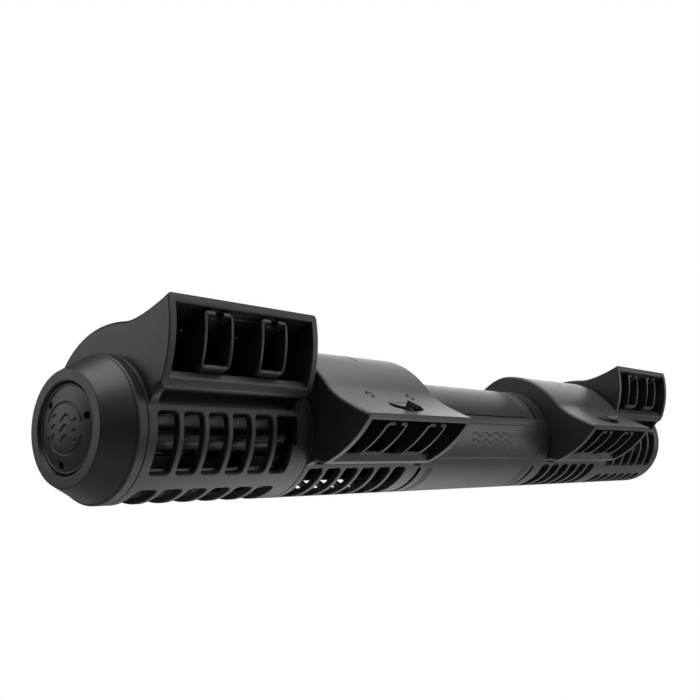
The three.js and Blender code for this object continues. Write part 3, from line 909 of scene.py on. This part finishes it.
def vane_frame_tube():
    """The vane: a thin-walled rectangular tube whose front follows the mouth's curve."""
    wall, edge = VANE["wall"], 0.3
    low, high, half = VANE["low"], VANE["high"], VANE["half_width"]
    outer = rounded(corners(half, low, high), 1.7, 6)
    inner = rounded(corners(half - wall, low + wall, high - wall), 0.7, 6)
    centre = in_vane_frame(MOUTH_CENTRE)
    reach = MOUTH_R - VANE["inset"]
    rim = [(edge * (1 - math.cos(t)), edge * (1 - math.sin(t))) for t in quarter(3)]
    across = rim + [(wall - t, back) for t, back in reversed(rim)]
    rings = []
    for outside, inside in subdivided(outer, inner, 1.2):
        front = centre[0] + math.sqrt(reach ** 2 - (outside.y - centre[1]) ** 2)
        ring = []
        for depth, back in across:
            place = outside.lerp(inside, depth / wall)
            ring.append((place.x, -(front - back), place.y))
        for depth, back in reversed(across):
            place = outside.lerp(inside, depth / wall)
            ring.append((place.x, -(VANE["back"] + back), place.y))
        rings.append(ring)
    return loft(rings, closed=True)


def pin(r, x, y, low, high):
    """A round pin along Z with softened ends."""
    made = upright(circle(r, x, y, 24), low, high)
    return softened(made, even(min(0.25, r / 3)), 2, 60)


def pivot_head(low):
    """The upper pivot pin, its end cut to follow the hood."""
    outline = circle(PIVOT_HEAD)
    bottom = [(x, y, low) for x, y in outline]
    top = [(x, y, hood_height(-y) - 0.03) for x, y in outline]
    return softened(loft([bottom, top]), even(0.12), 2, 50)


def vane():
    """A vane with its two pivots and the crank pin that the link turns it by."""
    wall, low, high = VANE["wall"], VANE["low"], VANE["high"]
    notch = block(
        (-NOTCH["half_width"], NOTCH["half_width"]),
        (-40, -NOTCH["from"]),
        (high - 2 * wall, high + 1),
    )
    made = boolean(vane_frame_tube(), [notch])
    pins = [
        pivot_head(high - wall / 2),
        pin(PIVOT_R, 0, 0, low - 4.6, low + wall / 2),
        pin(0.9, 0, -CRANK_REACH, high - wall / 2, -4.85),
    ]
    return boolean(made, pins, "UNION")


def louver_shield():
    """The curved plate under the hood that closes the lever slot from below."""
    top, bottom, half = 2.4, 2.8, 15.8
    places = [6 + 9.7 * share for share in shares(8)]
    outline = [(f, hood_height(f) - top) for f in places]
    outline += [(f, hood_height(f) - bottom) for f in reversed(places)]
    return softened(prism(outline, -half, half), even(0.12), 2, 40)


def louver_link():
    """The bar that joins the two vanes' cranks: an eye at each end, the shield and the knob's post."""
    low, high, half = -5.4, -4.4, 1.7
    y = -CRANK_REACH
    bar = block((-VANE_OFFSET, VANE_OFFSET), (y - half, y + half), (low, high))
    eyes = [upright(circle(half + 0.5, x, y), low, high) for x in (-VANE_OFFSET, VANE_OFFSET)]
    holes = [upright(circle(1.25, x, y, 24), low - 1, high + 1) for x in (-VANE_OFFSET, VANE_OFFSET)]
    made = boolean(bar, eyes, "UNION")
    made = softened(boolean(made, [joined(*holes)]), even(0.18), 2)
    post = pin(0.9, 0, y, low + 0.3, -2.2)
    return boolean(made, [louver_shield(), post], "UNION")


def louver_knob():
    """A lozenge thumb piece whose top slopes down inboard, on its stem."""
    half_length, half_width, base, top = 3.2, 5.2, -1.25, 1.6
    points = [(half_width, 0), (-2.2, half_length), (-3.9, 0), (-2.2, -half_length)]
    outline = rounded(points, [0.45, 0.5, 0.45, 0.5], 5)
    slope = 0.24
    rings = [
        [(x, y, base) for x, y in outline],
        [(x * 0.94, y * 0.94, top + slope * (x - half_width)) for x, y in outline],
    ]
    head = softened(loft(rings), even(0.22), 3, 20)
    turned = Matrix.Translation((0, -CRANK_REACH, 0)) @ Matrix.Rotation(math.radians(-5), 4, "Z")
    stem = pin(1.9, 0, -CRANK_REACH, -4.25, base + 0.5)
    made = boolean(moved(head, turned), [stem], "UNION")
    socket = upright(circle(1.2, 0, -CRANK_REACH, 24), -6, -1.9)
    return boolean(made, [socket])


def add_vanes(name, unit, swivel):
    """A nozzle's two vanes, and the link and knob that turn them."""
    place = swivel @ vane_frame(sum(unit["nozzle"]) / 2)
    for letter, x in (("a", -VANE_OFFSET), ("b", VANE_OFFSET)):
        made = moved(vane(), place @ Matrix.Translation((x, 0, 0)))
        part = f"{name}_vane_{letter}"
        both_sides(part, made, part, "vane_plastic")
    body = f"{name}_louver"
    both_sides(f"{body}_link", moved(louver_link(), place), body, "vane_plastic")
    both_sides(f"{body}_knob", moved(louver_knob(), place), body, "knob_plastic", 30)


# ---- end cap ----

def end_cap():
    """The coned cap: its face ring, the cone, the band, the spigot and the bush's socket inside."""
    seam, cone, face, spigot_start = (CAP[key] for key in ("seam", "cone", "face", "spigot"))
    r, back, socket = SPIGOT_R, face - 4.2, face - 11
    profile = [
        ((0, face - 2), 0), ((14.7, face - 2), 0.2), ((15.5, face), 0.35), ((19.2, face), 0.5),
        ((24.15, cone + 0.55), 0.3), ((24.3, cone + 0.2), 0.1), ((24.75, cone + 0.05), 0.15),
        ((BODY_R, cone - 0.6), 0.5), ((BODY_R, seam), 0.25), ((r, seam), 0.1),
        ((r, spigot_start), 0.3), ((r - 1.8, spigot_start), 0.3), ((18, back), 0.5),
        ((5.2, back), 0.5), ((5.2, socket), 0.3), ((3.3, socket), 0.3), ((3.3, back), 0),
        ((0, back), 0),
    ]
    return lathe(bent(profile))


def dome(r):
    """How far the cap disc's crown stands along the axis at a radius."""
    return CAP["face"] - 1.2 + 2.1 * (1 - (r / CAP["crown"]) ** 2)


def flow_emblem():
    """A plain engraved sign of circling water: three waves between two arcs."""
    length = 6.6
    places = [length * (2 * share - 1) for share in shares(40)]
    paths = []
    for row in (-1, 0, 1):
        heights = [3.3 * row + 1.15 * math.sin(2 * math.pi * along / length) for along in places]
        paths.append(list(zip(places, heights)))
    for start in (15, 195):
        turns = [math.radians(start + 150 * share) for share in shares(36)]
        paths.append([(9.6 * math.cos(turn), 8.4 * math.sin(turn)) for turn in turns])
    bars = [sweep([(dome(math.hypot(*p)), -p[0], p[1]) for p in path], 0.5) for path in paths]
    return joined(*bars)


def cap_disc():
    """The crowned disc in the cap's face, with its bead, three small holes and the emblem."""
    crown_r, r, back = CAP["crown"], CAP["crown"] + 0.75, CAP["face"] - 1.95
    crown = [(crown_r * (1 - share), dome(crown_r * (1 - share))) for share in shares(28)]
    edge = dome(crown_r)
    bead = edge + 0.35
    rim = [
        ((0, back), 0), ((r, back), 0.1), ((r, bead), 0.25), ((crown_r + 0.2, bead), 0.2),
        ((crown_r + 0.05, edge), 0),
    ]
    made = lathe(bent(rim) + crown)
    holes = []
    for degrees in (20, 140, 260):
        u, w = polar(crown_r - 2, degrees)
        holes.append(prism(circle(1.35, u, w, 24), CAP["face"] - 4, CAP["face"] + 4))
    return boolean(made, [joined(*holes), flow_emblem()])


def add_cap():
    """What twists off for cleaning: the cap, its disc and the bush that the shaft runs in."""
    both_sides("end_cap", end_cap(), "cap", "housing_plastic", 30)
    both_sides("cap_disc", cap_disc(), "cap", "housing_plastic", 30)
    face = CAP["face"]
    bush = rounded([(1.8, face - 10.6), (3, face - 10.6), (3, face - 4.7), (1.8, face - 4.7)], 0.2)
    both_sides("outer_bush", lathe(bush, 64), "cap", "ceramic")


# ---- rotor and drive ----

def ring(r_in, r_out, start, end, radius=0.2, sides=96):
    """A plain ring with its edges rounded."""
    return lathe(rounded([(r_in, start), (r_out, start), (r_out, end), (r_in, end)], radius), sides)


def impeller_blade(at, start, end):
    """A swept blade whose root is at an angle; it is thickest in the middle."""
    root, depth, sweep_angle = (IMPELLER[key] for key in ("root", "depth", "sweep"))
    front = []
    back = []
    for share in shares(6):
        r, degrees = root + depth * share, at + sweep_angle * share ** 1.2
        thick = 3.2 + 1.8 * math.sin(math.pi * (0.25 + 0.6 * share))
        front.append(polar(r, degrees))
        back.append(polar(r, degrees + thick))
    return softened(prism(front + back[::-1], start, end), even(0.3), 2, 40)


def impeller():
    """Swept blades between three discs, on a hub sleeve."""
    start, end = span("right_impeller")
    disc_r, bore, disc = IMPELLER["disc_r"], IMPELLER["bore"], IMPELLER["disc"]
    middle = 126.2
    discs = [
        ring(bore, disc_r, start, start + disc, 0.4),
        ring(bore, disc_r, end - disc, end, 0.4),
        ring(14.5, disc_r, middle, middle + disc, 0.4),
        ring(bore, 3.2, start + 1, end - 1, 0.2),
    ]
    count = IMPELLER["blades"]
    blades = [impeller_blade(360 / count * i, start + 1, end - 1) for i in range(count)]
    return boolean(discs[0], discs[1:] + [joined(*blades)], "UNION")


def add_rotor():
    """What spins: the impeller, its shaft, and the magnet on its carrier."""
    both_sides("impeller", impeller(), "rotor", "impeller_plastic")
    start, end = span("right_shaft")
    shaft = rounded([(0, start), (1.5, start), (1.5, end), (0, end)], [0, 0.3, 0.3, 0])
    both_sides("shaft", lathe(shaft, 64), "rotor", "ceramic")
    start, end = span("right_magnet_carrier")
    profile = [(1.8, start), (4, start), (4, end - 2), (8.5, end - 2), (8.5, end), (1.8, end)]
    carrier = lathe(rounded(profile, [0.2, 0.3, 0.5, 0.3, 0.3, 0.2]), 96)
    both_sides("magnet_carrier", carrier, "rotor", "impeller_plastic")
    start, end = span("right_rotor_magnet")
    both_sides("rotor_magnet", ring(4.3, 8.9, start, end, 0.4), "rotor", "magnet")


def rotor_can():
    """The can that keeps the rotor's water from the motor; the edge of its flange shows as a thin ring."""
    start, end = span("right_rotor_can")
    flange = end - 1.5
    profile = [
        ((0, start), 0), ((11, start), 0.6), ((11, flange), 0.3), ((BODY_R, flange + 0.12), 0.35),
        ((BODY_R, end - 0.12), 0.35), ((9.8, end), 0.5), ((9.8, start + 1.4), 0.3),
        ((5.4, start + 1.4), 0.2), ((5.4, start + 4.6), 0.2), ((3.9, start + 4.6), 0.2),
        ((3.9, start + 1.4), 0.2), ((0, start + 1.4), 0),
    ]
    return lathe(bent(profile))


def collar():
    """The ring beside the motor, grooved round its outside, with the spigot for the inner cage."""
    start, end = span("right_collar")
    r, bore, step, groove = SPIGOT_R, 19.8, 48.7, start + 1.7
    profile = [
        ((bore, start), 0.2), ((BODY_R, start), 0.3), ((BODY_R, groove - 0.3), 0.1),
        ((BODY_R - 0.5, groove), 0.05), ((BODY_R, groove + 0.3), 0.1), ((BODY_R, step), 0.35),
        ((r, step), 0.2), ((r, end), 0.3), ((bore, end), 0.2),
    ]
    return lathe(bent(profile))


def add_drive():
    """The parts of the motor that each side has one of."""
    start, end = span("right_inner_bush")
    bush = ring(1.8, 3.6, start, end, 0.15, 64)
    seal = lathe(circle(0.8, 21.2, sum(span("right_can_seal")) / 2, 24), 128)
    both_sides("inner_bush", bush, "motor", "ceramic")
    both_sides("rotor_can", rotor_can(), "motor", "housing_plastic", 30)
    both_sides("collar", collar(), "motor", "housing_plastic", 30)
    both_sides("can_seal", seal, "motor", "rubber")


# ---- motor housing, front plate, lead and magnet mount ----

def across_y(outline, start, end):
    """An (x, z) outline as a prism along Y."""
    return loft([[(x, y, z) for x, z in outline] for y in (start, end)])


def motor_housing():
    """The motor's tube, with the lead's hole, the front plate's seat and a groove above the plate."""
    start, end = span("motor_housing")
    made = pipe(BODY_R - 2.6, start, end)
    lead_hole = across_y(circle(3.4, CABLE["x"], 0), 15, 30)
    seat = plate_block(BODY_R - 0.7, BODY_R + 1, 0.45)
    degrees = (PLATE["high"] - 1, PLATE["high"] + 4)
    groove = wall_cutter((start - 1, end + 1), degrees, 0.3, inner=BODY_R - 1.5)
    return boolean(made, [lead_hole, seat, groove])


def plate_half(along):
    """Half the front plate's length at a distance round it from its lower edge."""
    full = PLATE["r_out"] * math.radians(PLATE["high"] - PLATE["low"])
    lower, upper = 3.0, 5.5
    reach = 0.0
    if along < lower:
        reach = lower - math.sqrt(max(0, lower ** 2 - (lower - along) ** 2))
    elif full - along < upper:
        reach = upper - math.sqrt(max(0, upper ** 2 - (upper - full + along) ** 2))
    bulge = 0.9 * ((along / full - 0.42) / 0.58) ** 2
    return PLATE["half"] - reach - bulge


def plate_block(r_in, r_out, margin=0.0):
    """The front plate's outline between two radii, grown by a margin."""
    outside = PLATE["r_out"]
    full = outside * math.radians(PLATE["high"] - PLATE["low"])
    rings = []
    for step in shares(64):
        share = (1 - math.cos(math.pi * step)) / 2
        along = -margin + (full + 2 * margin) * share
        degrees = PLATE["low"] + math.degrees(along / outside)
        half = plate_half(full * share) + margin
        rings.append([
            on_wall(-half, r_in, degrees),
            on_wall(half, r_in, degrees),
            on_wall(half, r_out, degrees),
            on_wall(-half, r_out, degrees),
        ])
    return loft(rings)


def front_plate():
    """The proud plate across the front, with rounded ends, an engraved frame and a wave sign."""
    r_out = PLATE["r_out"]
    made = softened(plate_block(PLATE["r_in"], r_out), even(0.8), 4, 40)
    line_low, line_high, line_half = -21, 13, 44.3
    degree = r_out * math.radians(1)
    height = (line_high - line_low) * degree
    frame_points = [(-line_half, 0), (line_half, 0), (line_half, height), (-line_half, height)]
    outline = rounded(frame_points, 3.75, 8)
    pairs = subdivided(outline, outline, 0.8)
    path = [on_wall(place.x, r_out - 0.2, line_low + place.y / degree) for place, _ in pairs]
    cutters = [sweep(path, 0.5, closed=True, sides=8)]
    for row in (-1, 0, 1):
        wave = []
        for share in shares(90):
            along = -18 + 36 * share
            rise = 3.1 * row + 0.95 * math.sin(2 * math.pi * along / 9)
            wave.append(on_wall(along, r_out - 0.2, -4 + rise / degree))
        cutters.append(sweep(wave, 0.48, sides=8))
    return boolean(made, [joined(*cutters)])


def mount_bracket():
    """The saddle behind the motor, with a pocket for each magnet."""
    x, z = span("mount_bracket"), span("mount_bracket", 2)
    back = span("mount_bracket", 1)[1]
    base = across_y(rounded(corners(x[1], *z), 3, 6), 12, back)
    bore = lathe([(0, -40), (BODY_R + GAP, -40), (BODY_R + GAP, 40), (0, 40)])
    pockets = [across_y(circle(9.8, side * 13, 0, 96), 27.3, 40) for side in (-1, 1)]
    made = boolean(base, [bore, joined(*pockets)])
    return softened(made, even(0.45), 3, 35)


def mount_plate(node):
    """A flat plate of the mount with rounded corners, before its edges are softened."""
    x, y, z = (span(node, way) for way in range(3))
    return across_y(rounded(corners(x[1], *z), 3, 6), *y)


def mount_cover():
    """The plate that closes the magnets' pockets."""
    return softened(mount_plate("mount_cover"), even(0.3), 3, 60)


def mount_pad():
    """The rubber pad, its glass side crossed by shallow grooves."""
    y, z = span("mount_pad", 1), span("mount_pad", 2)
    pitch, half, depth = 4.2, 0.5, 0.5
    grooves = []
    for i in range(-5, 6):
        x = (pitch * i - half, pitch * i + half)
        grooves.append(block(x, (y[1] - depth, y[1] + 1), (z[0] + 3, z[1] - 3)))
    return softened(boolean(mount_plate("mount_pad"), [joined(*grooves)]), even(0.25), 2, 60)


def cable():
    """The lead from the gland, turning up behind the motor; it is cut short."""
    x, start, turn, bend, top = (CABLE[key] for key in ("x", "start", "turn", "bend", "top"))
    path = [(x, start + (turn - start) * k / 4, 0) for k in range(4)]
    path += [(x, turn + bend * math.sin(t), bend * (1 - math.cos(t))) for t in quarter(16)]
    path += [(x, turn + bend, bend + (top - bend) * k / 6) for k in range(1, 7)]
    return softened(sweep(path, CABLE["r"], sides=48), even(0.3), 3, 60)


def cable_gland():
    """The ribbed plug that seals the lead into the housing."""
    bore = CABLE["r"] + 0.05
    profile = [
        ((bore, 22.8), 0.1), ((3.1, 22.8), 0.1), ((3.1, 25.3), 0.1), ((4.2, 25.3), 0.2),
        ((4.2, 26.4), 0.2), ((3.7, 26.6), 0.1), ((3.7, 26.9), 0.1), ((3.9, 27.0), 0.1),
        ((3.3, 27.4), 0.2), ((bore, 27.4), 0.1),
    ]
    along_y = Matrix.Translation((CABLE["x"], 0, 0)) @ Matrix.Rotation(math.pi / 2, 4, "Z")
    return moved(lathe(bent(profile, 3), 96), along_y)


def add_motor():
    """The motor's housing and what is fixed to it: the front plate, the magnet mount and the lead."""
    plastic = "housing_plastic"
    piece("motor_housing_tube", motor_housing(), "motor", plastic, ["motor_housing"], 30)
    piece("front_nameplate", front_plate(), "motor", plastic, ["front_plate"], 30)
    piece("mount_saddle", mount_bracket(), "motor", plastic, ["mount_bracket"], 30)
    piece("mount_back_cover", mount_cover(), "motor", plastic, ["mount_cover"], 30)
    piece("mount_rubber_pad", mount_pad(), "motor", "rubber", ["mount_pad"], 30)
    for side, way in (("left", -1), ("right", 1)):
        y = span(f"{side}_mount_magnet", 1)
        disc = softened(across_y(circle(9.5, 13 * way, 0, 96), *y), even(0.4), 3, 60)
        piece(f"{side}_holding_magnet", disc, "motor", "magnet", [f"{side}_mount_magnet"], 30)
    piece("power_lead", cable(), "motor", "rubber", ["cable"])
    piece("lead_gland", cable_gland(), "motor", "rubber", ["cable_gland"])


dress_cad_nodes()
for unit_name, unit_measures in UNITS.items():
    turn_up = Matrix.Rotation(-math.radians(unit_measures["swivel"]), 4, "X")
    add_shell(unit_name, unit_measures, turn_up)
    add_vanes(unit_name, unit_measures, turn_up)
add_cap()
add_rotor()
add_drive()
add_motor()


# ---- stage ----

def pale_floor():
    """A white floor that bounces light and that the camera sees as plain white."""
    nodes = Nodes(bpy.data.materials.new("pale_floor"))
    colour = nodes.mix(nodes.noise(0.8, 2), grey(0.4), grey(0.42))
    diffuse = nodes.add("ShaderNodeBsdfDiffuse", {"Color": colour}).outputs[0]
    white = nodes.add("ShaderNodeEmission", {"Color": grey(1), "Strength": 1.0}).outputs[0]
    seen = nodes.add("ShaderNodeLightPath").outputs["Is Camera Ray"]
    mixed = nodes.add("ShaderNodeMixShader", {0: seen, 1: diffuse, 2: white}).outputs[0]
    nodes.add("ShaderNodeOutputMaterial", {"Surface": mixed})
    return nodes.owner


def add_floor():
    """A wide round floor below the pump."""
    mesh = bpy.data.meshes.new("floor")
    mesh.from_pydata([(x, y, 0) for x, y in circle(9, sides=96)], [], [range(96)])
    mesh.materials.append(pale_floor())
    floor = bpy.data.objects.new("floor", mesh)
    floor.location.z = CAD_BOX[0].z - 0.3
    bpy.context.scene.collection.objects.link(floor)


CENTRE = (0, -0.04, 0)  # what most of the lights aim at, in the frame's metres


def add_light(name, place, aim, size, power):
    """A soft rectangular light."""
    light = bpy.data.lights.new(name, "AREA")
    light.shape = "RECTANGLE"
    light.size, light.size_y = size
    light.energy = power
    lamp = bpy.data.objects.new(name, light)
    lamp.location = place
    lamp.rotation_euler = (Vector(aim) - Vector(place)).to_track_quat("-Z", "Y").to_euler()
    bpy.context.scene.collection.objects.link(lamp)


def add_world():
    """Plain white to the camera, and a faint fill for everything else."""
    bpy.context.scene.world = bpy.data.worlds.new("studio")
    nodes = Nodes(bpy.context.scene.world)
    shades = [{"Color": grey(1), "Strength": strength} for strength in (0.03, 1.0)]
    fill, white = (nodes.add("ShaderNodeBackground", shade).outputs[0] for shade in shades)
    seen = nodes.add("ShaderNodeLightPath").outputs["Is Camera Ray"]
    mixed = nodes.add("ShaderNodeMixShader", {0: seen, 1: fill, 2: white}).outputs[0]
    nodes.add("ShaderNodeOutputWorld", {"Surface": mixed})


def add_camera():
    """The photograph's view: from the left end and slightly from below."""
    camera = bpy.data.cameras.new("camera")
    camera.lens = 48.87
    camera.sensor_width = 36
    camera.clip_start = 0.01
    holder = bpy.data.objects.new("camera", camera)
    holder.location = (-0.38903, -0.30326, -0.00819)
    tilt, heading = 96.27, -50.02
    holder.rotation_euler = (math.radians(tilt), 0, math.radians(heading))
    bpy.context.scene.collection.objects.link(holder)
    bpy.context.scene.camera = holder


bpy.context.scene.view_settings.view_transform = "Standard"
add_floor()
add_world()
add_light("top_softbox", (0, -0.05, 0.8), CENTRE, (1.6, 0.8), 11.5)
add_light("right_back_softbox", (1.6, 0.85, 0.5), CENTRE, (1.6, 0.9), 14)
add_light("front_right_softbox", (1.1, -0.95, 0.15), CENTRE, (0.9, 0.7), 4)
add_light("front_softbox", (0.3, -1.0, 0.8), CENTRE, (1.2, 0.6), 4)
add_light("left_softbox", (-0.55, 0.42, 0.18), (-0.17, -0.05, 0.01), (0.4, 0.4), 0.8)
add_light("floor_softbox", (0.15, -0.05, CAD_BOX[0].z - 0.28), (0.1, -0.04, 0), (0.6, 0.4), 0.9)
add_camera()
